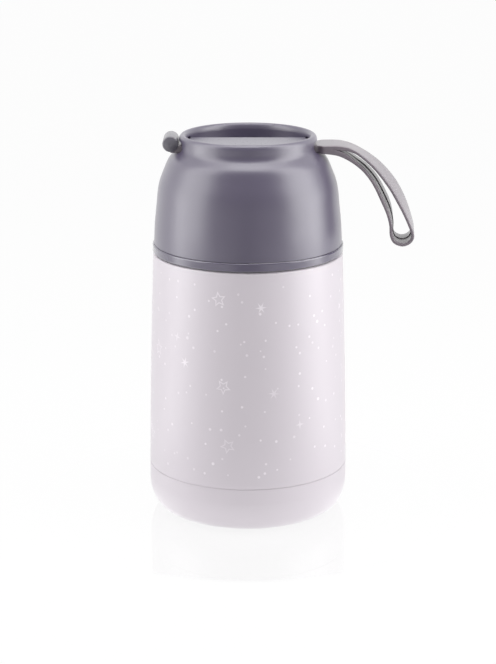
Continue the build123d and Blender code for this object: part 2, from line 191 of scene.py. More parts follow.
def noise(material, scale, detail=2.0, stretch=(1, 1, 1)):
    """Soft random values, from 0 to 1; stretch squeezes the pattern along an axis."""
    inputs = [(0, place(material)), (1, stretch)]
    spread = add_node(material, "ShaderNodeVectorMath", inputs, operation="MULTIPLY").outputs[0]
    inputs = [("Vector", spread), ("Scale", scale), ("Detail", detail)]
    return add_node(material, "ShaderNodeTexNoise", inputs).outputs["Fac"]


def tint(material, factor, low_colour, high_colour):
    """A colour between two colours, which are tuples or outputs."""
    mix = add_node(material, "ShaderNodeMix", data_type="RGBA")
    feed(material, mix, 0, factor)
    feed(material, mix, 6, (*low_colour, 1) if isinstance(low_colour, tuple) else low_colour)
    feed(material, mix, 7, (*high_colour, 1) if isinstance(high_colour, tuple) else high_colour)
    return mix.outputs[2]


def bump(material, height, distance, strength=1.0):
    """A surface normal from a height, with the relief's depth in metres."""
    inputs = [("Height", height), ("Distance", distance), ("Strength", strength)]
    return add_node(material, "ShaderNodeBump", inputs).outputs["Normal"]


def shade(colour, factor):
    """A colour made lighter or darker."""
    return tuple(channel * factor for channel in colour)


print("recipe helpers ready")

# %% [markdown]
# ## Pearl paint
# The body is sprayed with a pale pearl lilac under a satin clear coat. Two things make it look
# like paint and not like plastic: very fine flakes that change the colour a little, and the faint
# orange peel of a sprayed surface. Both come from noise textures, one at the size of a flake and
# one at a few millimetres. A third, much larger noise keeps big plain areas from looking flat.

# %% Pearl paint
PEARL = (0.605, 0.556, 0.605)
PEARL_CLOUD = (0.627, 0.578, 0.627)
CLOUD_SHARE = 0.25
PEARL_ROUGHNESS = 0.42
FLAKE_SPREAD = 0.03
FLAKE_RANGE = (0.2, 0.8)
FLAKE_SCALE = 5200
CLOUD_SCALE = 30
PEEL_SCALE = 420
PEEL_DEPTH = 0.02 * MM
PEEL_STRENGTH = 0.35
CLEAR_COAT = {"Specular_IOR_Level": 1.0, "Coat_Weight": 1.0, "Coat_Roughness": PEARL_ROUGHNESS}


def pearl_paint(name):
    """The body's paint, with flakes and orange peel."""
    paint = new_finish(name, PEARL, PEARL_ROUGHNESS, **CLEAR_COAT)
    flakes = noise(paint, FLAKE_SCALE, detail=1.0)
    clouds = noise(paint, CLOUD_SCALE)
    flaked = tint(paint, flakes, shade(PEARL, 0.985), shade(PEARL, 1.02))
    cloud_mask = step(paint, "MULTIPLY", clouds, CLOUD_SHARE)
    dress(paint, Base_Color=tint(paint, cloud_mask, flaked, PEARL_CLOUD))
    smoothest, roughest = PEARL_ROUGHNESS - FLAKE_SPREAD, PEARL_ROUGHNESS + FLAKE_SPREAD
    dress(paint, Roughness=fade(paint, flakes, *FLAKE_RANGE, smoothest, roughest))
    peel = noise(paint, PEEL_SCALE)
    dress(paint, Normal=bump(paint, peel, PEEL_DEPTH, PEEL_STRENGTH))
    return paint


base_paint = pearl_paint("pearl_paint_base")
print("pearl paint", PEARL)

# %% [markdown]
# ## The scatter of stars
# The body is printed with small tone-on-tone dots and a few stars. A texture picture would need
# an unwrapped surface, so the print is worked out in the material instead. The wall is treated as
# a cylinder and cut into cells, and each cell draws random numbers from its own place: whether it
# holds a motif, where the motif sits in it, how large it is and how it is turned. Because a whole
# number of cells goes round the jar, the print has no seam. The whole print is turned a little
# round the jar, so that a well-filled part of it faces forward.

# %% Cells round the jar
PRINT_TURN = math.radians(47)


def in_cell(material, cells, size):
    """How far a point is from the middle of its cell, in metres."""
    from_middle = step(material, "SUBTRACT", step(material, "FRACT", cells), 0.5)
    return step(material, "MULTIPLY", from_middle, size)


def wall_cells(material, around, height, layer):
    """Cuts the wall into cells: each cell's random numbers, and the place within it in metres."""
    inputs = [("Vector", place(material)), ("Angle", -PRINT_TURN)]
    spun = add_node(material, "ShaderNodeVectorRotate", inputs, rotation_type="Z_AXIS").outputs[0]
    axes = split(material, spun)
    turn = step(material, "ARCTAN2", axes["X"], step(material, "MULTIPLY", axes["Y"], -1.0))
    across = step(material, "MULTIPLY_ADD", turn, around / math.tau, around / 2)
    up = step(material, "DIVIDE", axes["Z"], height)
    inputs = [("X", step(material, "FLOOR", across)), ("Y", step(material, "FLOOR", up))]
    corner = add_node(material, "ShaderNodeCombineXYZ", [*inputs, ("Z", layer)]).outputs[0]
    inputs = [("Vector", corner)]
    dice = add_node(material, "ShaderNodeTexWhiteNoise", inputs, noise_dimensions="3D").outputs
    rolls = add_node(material, "ShaderNodeSeparateColor", [("Color", dice["Color"])]).outputs
    width = math.tau * body_radius / around
    x = in_cell(material, across, width)
    y = in_cell(material, up, height)
    return dice["Value"], rolls, x, y, width


def random_shift(material, roll, slack):
    """A random share of the slack, to either side."""
    return step(material, "MULTIPLY", step(material, "SUBTRACT", roll, 0.5), slack)


def motif_place(material, rolls, x, y, width, height, spare):
    """Moves the cell's middle at random, and keeps a motif of size spare inside the cell."""
    shift_x = random_shift(material, rolls[0], width - 2 * spare)
    shift_y = random_shift(material, rolls[1], height - 2 * spare)
    return step(material, "SUBTRACT", x, shift_x), step(material, "SUBTRACT", y, shift_y)


def reach(material, x, y):
    """Distance from the motif's centre."""
    square_x = step(material, "MULTIPLY", x, x)
    square_y = step(material, "MULTIPLY", y, y)
    return step(material, "SQRT", step(material, "ADD", square_x, square_y))


print("cell helpers ready, print turned by", round(math.degrees(PRINT_TURN)), "degrees")

# %% [markdown]
# A dot is all of the cell that lies within a radius of its centre. Its edge fades over a few
# tenths of a millimetre, like ink, which also keeps it from looking jagged.

# %% Dots
INK_EDGE = 0.2 * MM


def dots(material, around, height, layer, share, small, large):
    """Round dots in a share of the cells, with radii between small and large."""
    chance, rolls, x, y, width = wall_cells(material, around, height, layer)
    x, y = motif_place(material, rolls, x, y, width, height, large)
    radius = step(material, "MULTIPLY_ADD", rolls[2], large - small, small)
    inside = step(material, "SUBTRACT", radius, reach(material, x, y))
    drawn = step(material, "LESS_THAN", chance, share)
    return step(material, "MULTIPLY", fade(material, inside, -INK_EDGE, INK_EDGE), drawn)


print("ink fades over", 2 * INK_EDGE / MM, "mm")

# %% [markdown]
# A star is drawn by folding the plane: the angle round its centre is folded back and forth until
# all the tips lie on one tip, and then a single straight edge from that tip to the notch beside it
# draws the whole outline. The same recipe gives a five-pointed outline, a four-pointed spark and a
# six-rayed snow star.

# %% Stars
def star(material, x, y, turned_by, tips, outer, inner, outline=0.0):
    """One star: filled, or drawn as an outline that is so many metres wide."""
    wedge = math.pi / tips
    angle = step(material, "ADD", step(material, "ARCTAN2", x, y), turned_by)
    folded = step(material, "PINGPONG", angle, wedge)
    far = reach(material, x, y)
    along = step(material, "MULTIPLY", far, step(material, "COSINE", folded))
    aside = step(material, "MULTIPLY", far, step(material, "SINE", folded))
    notch_x = inner * math.cos(wedge)
    notch_y = inner * math.sin(wedge)
    edge = math.hypot(outer - notch_x, notch_y)
    normal_x = notch_y / edge
    normal_y = (outer - notch_x) / edge
    offset = step(material, "MULTIPLY", aside, normal_y)
    out_here = step(material, "MULTIPLY_ADD", along, normal_x, offset)
    depth = step(material, "SUBTRACT", outer * normal_x, out_here)
    if not outline:
        return fade(material, depth, -INK_EDGE, INK_EDGE)
    line = step(material, "SUBTRACT", outline / 2, step(material, "ABSOLUTE", depth))
    return fade(material, line, -INK_EDGE, INK_EDGE)


def stars(material, around, height, layer, share, tips, outer, inner, outline=0.0):
    """One kind of star in a share of the cells."""
    chance, rolls, x, y, width = wall_cells(material, around, height, layer)
    x, y = motif_place(material, rolls, x, y, width, height, outer)
    turned_by = step(material, "MULTIPLY", rolls[2], math.tau)
    drawn = step(material, "LESS_THAN", chance, share)
    shape = star(material, x, y, turned_by, tips, outer, inner, outline)
    return step(material, "MULTIPLY", shape, drawn)


print("star helpers ready")

# %% [markdown]
# Five layers make the print: two of dots and three of stars, each with cells of its own size, so
# that no rows or columns show. A point is inked where any layer inks it.

# %% Layers of the print
body_paint = pearl_paint("pearl_paint_printed")
layers = [
    dots(body_paint, around=34, height=9.1 * MM, layer=1, share=0.55,
         small=0.45 * MM, large=0.75 * MM),
    dots(body_paint, around=23, height=14.3 * MM, layer=2, share=0.55,
         small=0.5 * MM, large=0.85 * MM),
    stars(body_paint, around=7, height=37.0 * MM, layer=3, share=0.40,
          tips=5, outer=3.5 * MM, inner=1.65 * MM, outline=0.5 * MM),
    stars(body_paint, around=8, height=31.0 * MM, layer=4, share=0.35,
          tips=6, outer=3.0 * MM, inner=0.85 * MM),
    stars(body_paint, around=9, height=27.0 * MM, layer=5, share=0.20,
          tips=4, outer=2.4 * MM, inner=0.7 * MM),
]
print_mask = layers[0]
for layer in layers[1:]:
    print_mask = step(body_paint, "MAXIMUM", print_mask, layer)
print("print layers:", len(layers))

# %% [markdown]
# The ink is a lighter tone of the paint, and rougher, so it stays pale where the paint shines. It
# keeps clear of the collar above and of the seam below, where the real print stops, and it is laid
# on a little thinner in some places than in others.

# %% Printed paint
INK = (0.82, 0.77, 0.82)
INK_ROUGHNESS = 0.75
PRINT_ABOVE_SEAM = 4 * MM
PRINT_TOP = 131.5 * MM
PRINT_FADE = 1 * MM
WEAR_SCALE = 60
WEAR_RANGE = (0.3, 0.6)
INK_COVER = (0.45, 0.95)

height_here = split(body_paint, place(body_paint))["Z"]
print_start = shell_low.z + PRINT_ABOVE_SEAM
above_seam = fade(body_paint, height_here, print_start, print_start + PRINT_FADE)
below_collar = fade(body_paint, height_here, PRINT_TOP, PRINT_TOP + PRINT_FADE, 1.0, 0.0)
on_wall = step(body_paint, "MULTIPLY", above_seam, below_collar)
print_mask = step(body_paint, "MULTIPLY", print_mask, on_wall)
cover = fade(body_paint, noise(body_paint, WEAR_SCALE), *WEAR_RANGE, *INK_COVER)
print_mask = step(body_paint, "MULTIPLY", print_mask, cover)
shader = shader_of(body_paint)
plain_colour = shader.inputs["Base Color"].links[0].from_socket
dress(body_paint, Base_Color=tint(body_paint, print_mask, plain_colour, INK))
plain_roughness = shader.inputs["Roughness"].links[0].from_socket
extra = step(body_paint, "SUBTRACT", INK_ROUGHNESS, plain_roughness)
rougher = step(body_paint, "MULTIPLY", print_mask, extra)
dress(body_paint, Roughness=step(body_paint, "ADD", plain_roughness, rougher))
print("ink", INK, "roughness", INK_ROUGHNESS)

# %% [markdown]
# ## Satin plastics
# The lid and the collar are moulded in a grey-lilac plastic with a satin surface. A mould for such
# a part is blasted with fine beads, which leaves a grain of a few tenths of a millimetre, so the
# highlights are wide and soft. The strip over the lid's recess and the collar band have a finer
# grain, and the collar band shines most. One recipe makes them all, from noise at three sizes: a
# slow mottle in the colour, a finer change in roughness, and the grain as a relief.

# %% Lid and collar plastic
LID_GREY = (0.078, 0.064, 0.113)
MOTTLE_SCALE = 45
SATIN_SCALE = 900
SATIN_SPREAD = 0.03
GRAIN_SCALE = 2600
LID_GRAIN = 0.02 * MM
FINE_GRAIN = 0.005 * MM
NOISE_RANGE = (0.25, 0.75)


def moulded(name, colour, roughness, grain=LID_GRAIN, **sockets):
    """A moulded plastic with a blasted grain and a little mottling."""
    plastic = new_finish(name, colour, roughness, **sockets)
    mottle = noise(plastic, MOTTLE_SCALE, detail=3.0)
    dress(plastic, Base_Color=tint(plastic, mottle, shade(colour, 0.96), shade(colour, 1.05)))
    smoothest, roughest = roughness - SATIN_SPREAD, roughness + SATIN_SPREAD
    patches = noise(plastic, SATIN_SCALE)
    dress(plastic, Roughness=fade(plastic, patches, *NOISE_RANGE, smoothest, roughest))
    blasted = noise(plastic, GRAIN_SCALE, detail=1.0)
    dress(plastic, Normal=bump(plastic, blasted, grain, strength=0.5))
    return plastic


satin = {"Specular_IOR_Level": 1.0, "Coat_Weight": 1.0, "Coat_Roughness": 0.34}
glossy = {"Specular_IOR_Level": 1.0, "Coat_Weight": 1.0, "Coat_Roughness": 0.15}
lid_plastic = moulded("lid_plastic", LID_GREY, 0.38, **satin)
bridge_plastic = moulded("bridge_plastic", LID_GREY, 0.30, grain=FINE_GRAIN, **satin)
collar_plastic = moulded("collar_plastic", LID_GREY, 0.22, grain=FINE_GRAIN, **glossy)
print("lid plastic", LID_GREY)

# %% [markdown]
# The parts that touch food are moulded in paler plastics without a gloss: the lid's inner bowl and
# the stopper. The vent button is a darker grey, so that a thumb finds it.

# %% Plastics inside the lid and the stopper
liner_plastic = moulded("liner_plastic", (0.62, 0.60, 0.64), 0.38)
stopper_plastic = moulded("stopper_plastic", (0.60, 0.58, 0.62), 0.42)
button_plastic = moulded("button_plastic", (0.24, 0.22, 0.29), 0.35)
print("inner plastics ready")

# %% [markdown]
# ## Silicone
# The strap, the seals and the gasket are silicone. The strap comes out of a polished mould, so it
# has a soft gloss, which a thin coat on the shader gives. Its bead is the same silicone, made a
# darker grey as painted shade. The seals stay plain and more matt. Silicone picks up a little
# dust, and a thin lip of it lets some light in, which subsurface scattering imitates.

# %% Silicone
LIGHT_DEPTH = 2 * MM
LIGHT_SHARE = 0.15
LIGHT_COLOURS = (1.0, 0.8, 0.8)
DUST_SCALE = 120
SKIN_SCALE = 1800
SKIN_DEPTH = 0.02 * MM
SKIN_STRENGTH = 0.12


def silicone(name, colour, roughness, **sockets):
    """Silicone with a dusty mottle and a faint skin."""
    scatter = {"Subsurface_Weight": LIGHT_SHARE, "Subsurface_Scale": LIGHT_DEPTH}
    rubber = new_finish(name, colour, roughness, **scatter, **sockets)
    shader_of(rubber).inputs["Subsurface Radius"].default_value = LIGHT_COLOURS
    dust = noise(rubber, DUST_SCALE, detail=4.0)
    dress(rubber, Base_Color=tint(rubber, dust, shade(colour, 0.94), shade(colour, 1.06)))
    skin = noise(rubber, SKIN_SCALE, detail=1.0)
    dress(rubber, Normal=bump(rubber, skin, SKIN_DEPTH, SKIN_STRENGTH))
    return rubber


polished = {"Specular_IOR_Level": 0.8, "Coat_Weight": 0.5, "Coat_Roughness": 0.25}
strap_silicone = silicone("strap_silicone", (0.180, 0.151, 0.178), 0.30, **polished)
# Painted shade: the bead's silicone is a darker copy of the strap's silicone.
bead_silicone_painted_shade = silicone("bead_silicone_painted_shade", (0.125, 0.118, 0.142), 0.30, **polished)
seal_silicone = silicone("seal_silicone", (0.20, 0.19, 0.21), 0.55)
clear_silicone = silicone("clear_silicone", (0.72, 0.72, 0.72), 0.40)
print("silicones ready")

# %% [markdown]
# ## Steel and foil
# The vessel is spun and polished on a lathe, so its scratches run round it. Noise that is squeezed
# hard along the axis and left long round the jar gives those fine rings, as changes in roughness
# and as very shallow grooves. The foil round it is bright and creased: the borders between the
# cells of a Voronoi texture are straight and meet at corners, as creases do.

# %% Steel and foil
RING_SCALE = 160
RING_STRETCH = (0.05, 0.05, 14)
RING_DEPTH = 0.01 * MM
STEEL_SPREAD = 0.08
FOIL = (0.86, 0.86, 0.87)
CREASE_SCALE = 130
CREASE_DEPTH = 0.4 * MM
CREASE_PAINTED_SHADE_TONES = ((0.70, 0.70, 0.71), (0.88, 0.88, 0.89))


def spun_steel(name, colour, roughness):
    """Steel with fine turning marks round the axis."""
    steel = new_finish(name, colour, roughness, Metallic=1.0)
    rings = noise(steel, RING_SCALE, detail=3.0, stretch=RING_STRETCH)
    smoothest, roughest = roughness - STEEL_SPREAD, roughness + STEEL_SPREAD
    dress(steel, Roughness=fade(steel, rings, *NOISE_RANGE, smoothest, roughest))
    dress(steel, Base_Color=tint(steel, rings, shade(colour, 0.93), shade(colour, 1.04)))
    dress(steel, Normal=bump(steel, rings, RING_DEPTH, strength=0.5))
    return steel


def crinkled_foil():
    """Bright foil with creases, painted darker along the creases as shade."""
    sheet = new_finish("foil", FOIL, 0.18, Metallic=1.0)
    inputs = [("Vector", place(sheet)), ("Scale", CREASE_SCALE)]
    cells = add_node(sheet, "ShaderNodeTexVoronoi", inputs, feature="DISTANCE_TO_EDGE")
    creases = cells.outputs["Distance"]
    dress(sheet, Normal=bump(sheet, creases, CREASE_DEPTH, strength=0.6))
    # Painted shade: the foil's colour is darker along its creases.
    dress(sheet, Base_Color=tint(sheet, creases, *CREASE_PAINTED_SHADE_TONES))
    return sheet


vessel_steel = spun_steel("vessel_steel", (0.66, 0.66, 0.67), 0.26)
pan_steel = spun_steel("pan_steel", (0.55, 0.55, 0.56), 0.38)
foil = crinkled_foil()
print("metals ready")

# %% [markdown]
# Three small metal parts share one recipe: the drop of solder that closes the vacuum, the porous
# getter pellet that keeps it, and the spring's drawn wire. Their grain is the same in every
# direction, and only its tone and roughness differ.

# %% Solder, getter and spring
CAST_SCALE = 900
CAST_DEPTH = 0.04 * MM
CAST_RANGE = (0.3, 0.7)
CAST_SMOOTHER = 0.05
CAST_ROUGHER = 0.07


def cast_metal(name, colour, roughness):
    """A small metal part with a cast or drawn surface."""
    metal = new_finish(name, colour, roughness, Metallic=1.0)
    grain = noise(metal, CAST_SCALE, detail=4.0)
    dress(metal, Base_Color=tint(metal, grain, shade(colour, 0.85), shade(colour, 1.08)))
    smoothest, roughest = roughness - CAST_SMOOTHER, roughness + CAST_ROUGHER
    dress(metal, Roughness=fade(metal, grain, *CAST_RANGE, smoothest, roughest))
    dress(metal, Normal=bump(metal, grain, CAST_DEPTH, strength=0.5))
    return metal


solder = cast_metal("solder", (0.55, 0.55, 0.57), 0.40)
getter_metal = cast_metal("getter_metal", (0.25, 0.25, 0.26), 0.60)
spring_wire = cast_metal("spring_wire", (0.62, 0.62, 0.63), 0.22)
print("small metals ready")

# %% [markdown]
# ## Foam
# The stopper and the lid are filled with a rigid foam. Its cut surface is a field of tiny open
# bubbles. Modelling each bubble would take millions of faces, so a Voronoi texture draws them as
# pits: the distance from the middle of each cell is both the pit's depth and a painted shade,
# darker at the bottom of each pit.

# %% Foam
BUBBLE_SCALE = 900
BUBBLE_DEPTH = 0.4 * MM
BUBBLE_PAINTED_SHADE_TONES = ((0.66, 0.64, 0.58), (0.84, 0.82, 0.76))

foam = new_finish("foam", (0.80, 0.78, 0.72), 0.85)
bubble_cells = [("Vector", place(foam)), ("Scale", BUBBLE_SCALE)]
bubbles = add_node(foam, "ShaderNodeTexVoronoi", bubble_cells).outputs["Distance"]
# Painted shade: each bubble's pit is darker towards its bottom.
dress(foam, Base_Color=tint(foam, bubbles, *BUBBLE_PAINTED_SHADE_TONES))
dress(foam, Normal=bump(foam, bubbles, BUBBLE_DEPTH, strength=0.7))
print("foam ready")

# %% [markdown]
# ## Dressing the solids
# Each solid piece keeps its shape from the CAD model and takes one of the finishes above. A table
# from piece to finish is easier to check than a line of code for each one.

# %% Finish for each solid
finishes = {
    "base_cup": base_paint,
    "outer_shell": body_paint,
    "inner_vessel": vessel_steel,
    "reflective_foil": foil,
    "outer_bottom": pan_steel,
    "vacuum_plug": solder,
    "getter": getter_metal,
    "collar_seal": seal_silicone,
    "shoulder_collar": collar_plastic,
    "stopper_body": stopper_plastic,
    "stopper_cap": stopper_plastic,
    "stopper_insulation": foam,
    "stopper_gasket": clear_silicone,
    "vent_button": button_plastic,
    "vent_stem": button_plastic,
    "vent_seal": clear_silicone,
    "vent_spring": spring_wire,
    "lid_shell": lid_plastic,
    "strap_bridge": bridge_plastic,
    "lid_liner": liner_plastic,
    "lid_insulation": foam,
    "strap_anchor": strap_silicone,
    "strap_loop": strap_silicone,
}
for node_name, finish in finishes.items():
    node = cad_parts[node_name]
    node.data.materials.clear()
    node.data.materials.append(finish)
print("finished solids:", len(finishes))

# %% [markdown]
# ## Paint in the seam
# The base cup and the outer wall are painted once they are joined, so paint pools in the groove
# between them and leaves a shallow line. A thin ring of paint stands for it. Its section is a
# small rectangle just below the surface, carried once round the jar. The radius of the jar at the
# seam is measured on the base cup's own mesh.

# %% Section of the ring
SEAM_GAP = 0.15 * MM
SEAM_DEPTH = 0.24 * MM
SEAM_INNER = 0.45 * MM
SEAM_HEIGHT = 0.17 * MM
RIM_SEARCH = 0.05 * MM

seam_z = shell_low.z - SEAM_GAP
rim = [v.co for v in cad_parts["base_cup"].data.vertices if abs(v.co.z - seam_z) < RIM_SEARCH]
seam_radius = max(math.hypot(point.x, point.y) for point in rim)
ring_outside = seam_radius - SEAM_DEPTH
ring_inside = seam_radius - SEAM_INNER
ring_top = seam_z + SEAM_HEIGHT
section = [
    (ring_outside, seam_z), (ring_outside, ring_top), (ring_inside, ring_top), (ring_inside, seam_z)
]
print(f"seam at {seam_z / MM:.2f} mm, {2 * seam_radius / MM:.1f} mm across")

# %% [markdown]
# A mesh is made of points, and of faces that say which points they join. Each turn of the ring has
# the four corners of the section, and its faces join them to those of the next turn. The last turn
# joins the first, so the ring is closed. It stays with the jar and counts as the body's paint.

# %% Ring of paint in the seam
SEAM_TURNS = 256

angles = [math.tau * count / SEAM_TURNS for count in range(SEAM_TURNS)]
points = [(r * math.cos(angle), r * math.sin(angle), z) for angle in angles for r, z in section]
sides = len(section)
faces = []
for turn in range(SEAM_TURNS):
    here = turn * sides
    beyond = (turn + 1) % SEAM_TURNS * sides
    for side in range(sides):
        above = (side + 1) % sides
        faces.append((here + side, beyond + side, beyond + above, here + above))
seam_mesh = bpy.data.meshes.new("seam_paint")
seam_mesh.from_pydata(points, [], faces)
seam_mesh.materials.append(base_paint)
seam_paint = add_object("seam_paint", seam_mesh)
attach(seam_paint, "jar")
print("ring of paint:", len(faces), "faces")

# %% [markdown]
# ## The vent spring
# A pressed vent shortens its spring, but a solid stays rigid. So a copy of the coil, with a mesh
# of its own, stands in for the solid and rests on the stopper.

# %% Copy the spring onto the stopper
coil = add_object("coil_spring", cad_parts["vent_spring"].data.copy())
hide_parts("vent_spring")
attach(coil, "stopper")
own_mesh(coil)

# %% [markdown]
# ## The strap's outline
# The strap is one moulding. Seen from the side, its outer line runs flat from the bead, out
# through the slot, over in a wide arch and round a narrow loop end, and then back underneath. The
# arch is drawn through a few points with a smooth curve, and the gap between the two plies is the
# same line moved in by the thickness of one ply. Near the slot the plies meet gradually, so the
# gap closes there in a narrow slit.

# %% Smooth lines through points
SLIT_X = 45.5 * MM
SLIT_OPEN = 57 * MM
SLIT_EXTRA = 0.9 * MM


def smooth_line(points, steps=8):
    """A Catmull-Rom curve through the points, with so many steps between two of them."""
    points = [Vector(point) for point in points]
    ends = [2 * points[0] - points[1], *points, 2 * points[-1] - points[-2]]
    line = []
    for before, start, end, after in zip(ends, ends[1:], ends[2:], ends[3:]):
        for count in range(steps):
            t = count / steps
            bend = (2 * before - 5 * start + 4 * end - after) * t ** 2
            curl = (3 * start - before - 3 * end + after) * t ** 3
            line.append((2 * start + (end - before) * t + bend + curl) / 2)
    return [*line, points[-1]]


def ease(value, low, high):
    """A smooth step from 0 to 1 between low and high."""
    t = min(max((value - low) / (high - low), 0), 1)
    return t * t * (3 - 2 * t)


def inset(line, at_start, at_end):
    """The line moved to its right-hand side by a ply's thickness, and a little more at the slit."""
    moved = []
    neighbours = zip([line[0], *line], line, [*line[1:], line[-1]])
    for count, (before, here, after) in enumerate(neighbours):
        along = (after - before).normalized()
        distance = at_start + (at_end - at_start) * count / (len(line) - 1)
        distance += SLIT_EXTRA * (1 - ease(here.x, SLIT_X, SLIT_OPEN))
        moved.append(here + Vector((along.y, -along.x)) * distance)
    return moved


print("line helpers ready")

# %% [markdown]
# Each point says how far it is from the jar's axis and how high above the floor, in millimetres.
# The upper ply is a little thinner than the lower one. Under the bridge the strap is a flat bar,
# so the line runs on straight from both ends of the arch to the bead.

# %% The strap's lines
UPPER_PLY = 1.35 * MM
LOWER_PLY = 1.75 * MM
STRAP_TOP = 195.1 * MM
STRAP_UNDER = 191.3 * MM
BEAD_X = -39.75 * MM

over_the_arch_mm = [
    (36, 195.1), (44, 195.2), (48, 194.9), (52, 194.0), (56, 192.2), (60.4, 189.4), (64.5, 186.2),
    (68.2, 182.7), (72.6, 177.6), (76.6, 172.0), (81.4, 163.0), (84.9, 154.4), (86.5, 148.4),
    (84.6, 144.5), (80.3, 142.9),
]
back_underneath_mm = [
    (75.8, 144.6), (73.8, 148.6), (73.6, 154.3), (72.2, 160.4), (69.5, 166.7), (65.3, 174.7),
    (61.1, 180.2), (56.8, 184.1), (50.8, 187.9), (44.9, 190.3), (36, 191.3),
]
arch = smooth_line([(x * MM, z * MM) for x, z in over_the_arch_mm + back_underneath_mm])
outer_line = [Vector((BEAD_X, STRAP_TOP)), *arch, Vector((BEAD_X, STRAP_UNDER))]
gap_line = [point for point in inset(arch, UPPER_PLY, LOWER_PLY) if point.x > SLIT_X]
print("strap outline points:", len(outer_line), "gap points:", len(gap_line))

# %% [markdown]
# ## From outline to strap
# A flat curve with a hole can be filled and thickened by Blender itself, with rounded edges from
# its bevel, so the outline and the gap become a solid strap in one step. Building the same body
# face by face would be slower and easier to get wrong. The result is turned into a mesh.

# %% Fill and thicken the outline
STRAP_HALF = 9.8 * MM
EDGE_ROUND = 0.45 * MM


def closed_loop(curve, line):
    """Adds a closed straight-edged loop to a curve."""
    loop = curve.splines.new("POLY")
    loop.points.add(len(line) - 1)
    for point, corner in zip(loop.points, line):
        point.co = (corner.x, corner.y, 0, 1)
    loop.use_cyclic_u = True


strap_curve = bpy.data.curves.new("strap_outline", "CURVE")
strap_curve.dimensions = "2D"
strap_curve.fill_mode = "BOTH"
strap_curve.extrude = STRAP_HALF - EDGE_ROUND
strap_curve.bevel_depth = EDGE_ROUND
strap_curve.offset = -EDGE_ROUND
strap_curve.bevel_resolution = 2
closed_loop(strap_curve, outer_line)
closed_loop(strap_curve, gap_line)
outline_object = add_object("strap_outline", strap_curve)
bpy.context.view_layer.update()
strap_mesh = bpy.data.meshes.new_from_object(outline_object)
bpy.data.objects.remove(outline_object)
print("strap mesh:", len(strap_mesh.polygons), "faces")

# %% [markdown]
# The mesh is stood upright. Its wide faces have no points inside them, so nothing in them could
# bend yet. Cuts across the strap's width and along its flat ends give it those points: it can then
# twist, carry a low rib down its middle and narrow at the slots.

# %% Cut the strap for twisting and bending
RIB_HALF = 0.5 * MM
SAME_POINT = 0.01 * MM
ON_CUT = 0.001 * MM
ACROSS = (0, 1, 0)
ALONG = (1, 0, 0)
TWIST_CUTS_MM = (-6, -3, 3, 6)
LEFT_CUTS_MM = range(-38, -28)
RIGHT_CUTS_MM = range(28, 46)

work = bmesh.new()
work.from_mesh(strap_mesh)
for vertex in work.verts:
    vertex.co = Vector((vertex.co.x, -vertex.co.z, vertex.co.y))
bmesh.ops.reverse_faces(work, faces=work.faces)
bmesh.ops.remove_doubles(work, verts=work.verts, dist=SAME_POINT)
cuts = [((0, y * MM, 0), ACROSS) for y in TWIST_CUTS_MM]
cuts += [((0, side * RIB_HALF, 0), ACROSS) for side in (-1, 0, 1)]
cuts += [((x * MM, 0, 0), ALONG) for x in (*LEFT_CUTS_MM, *RIGHT_CUTS_MM)]
for point, normal in cuts:
    everything = [*work.verts, *work.edges, *work.faces]
    bmesh.ops.bisect_plane(work, geom=everything, plane_co=point, plane_no=normal, dist=ON_CUT)
print("strap after cuts:", len(work.verts), "vertices")

# %% [markdown]
# A low rib runs down the middle of the inner faces, as on the real moulding. Its points are those
# of the middle cut that lie on the gap, moved into the gap a little.

# %% Rib along the inner faces
RIB_HEIGHT = 0.40 * MM
RIB_START = 46 * MM
RIB_FULL = 60 * MM
RIB_FROM_SLIT = 2 * MM
GAP_REACH = 0.4 * MM
MIDDLE_REACH = 0.1 * MM

gap_points = [Vector((point.x, 0, point.y)) for point in gap_line]


def raise_rib(vertex, flat):
    """Moves a point of the middle cut into the gap, if it lies on the gap."""
    index, near = min(enumerate(gap_points), key=lambda pair: (pair[1] - flat).length)
    on_gap = (near - flat).length < GAP_REACH and flat.x > SLIT_X + RIB_FROM_SLIT
    if on_gap and abs(vertex.co.y) < MIDDLE_REACH:
        before = gap_points[max(index - 1, 0)]
        after = gap_points[min(index + 1, len(gap_points) - 1)]
        along = (after - before).normalized()
        into_gap = Vector((along.z, 0, -along.x))
        vertex.co += into_gap * RIB_HEIGHT * ease(flat.x, RIB_START, RIB_FULL)


print("rib", RIB_HEIGHT / MM, "mm high")

# %% [markdown]
# The strap doesn't hang quite square: its front edge lies nearer the jar than its back edge over
# the arch. Moving each point along the arch's outward direction, by an amount that depends on how
# far it is from the middle of the strap's width, gives that twist. In the slots the strap is
# narrower, so each point there is moved towards the middle.

# %% Twist and narrow the strap
TWIST = 1.75 * MM
TWIST_START = 50 * MM
TWIST_FULL = 78 * MM
TWIST_AT_END = 0.35
END_HEIGHT = 143.4 * MM
EASE_HEIGHT = 170 * MM
OUTWARD = Vector((0.80, 0, 0.60))
NECK_SHARE = 0.80
NECK_IN = (30.5 * MM, 32.5 * MM)
NECK_OUT = (36.0 * MM, 38.5 * MM)

for vertex in work.verts:
    flat = Vector((vertex.co.x, 0, vertex.co.z))
    raise_rib(vertex, flat)
    by_height = TWIST_AT_END + (1 - TWIST_AT_END) * ease(flat.z, END_HEIGHT, EASE_HEIGHT)
    amount = TWIST * ease(flat.x, TWIST_START, TWIST_FULL) * by_height
    vertex.co += OUTWARD * amount * vertex.co.y / STRAP_HALF
    in_neck = ease(abs(flat.x), *NECK_IN) * (1 - ease(flat.x, *NECK_OUT))
    vertex.co.y *= 1 + (NECK_SHARE - 1) * in_neck
work.to_mesh(strap_mesh)
work.free()
print("strap twisted by", TWIST / MM, "mm at its edges")

# %% [markdown]
# Faces that meet at a small angle are shaded as one smooth surface, and sharper edges stay crisp.
# The strap replaces the two plain solids that stand for it.

# %% Make the strap a piece
SMOOTH_ANGLE = math.radians(38)


def smooth(mesh):
    """Smooth shading, with edges over the angle kept sharp."""
    mesh.shade_smooth()
    mesh.set_sharp_from_angle(angle=SMOOTH_ANGLE)


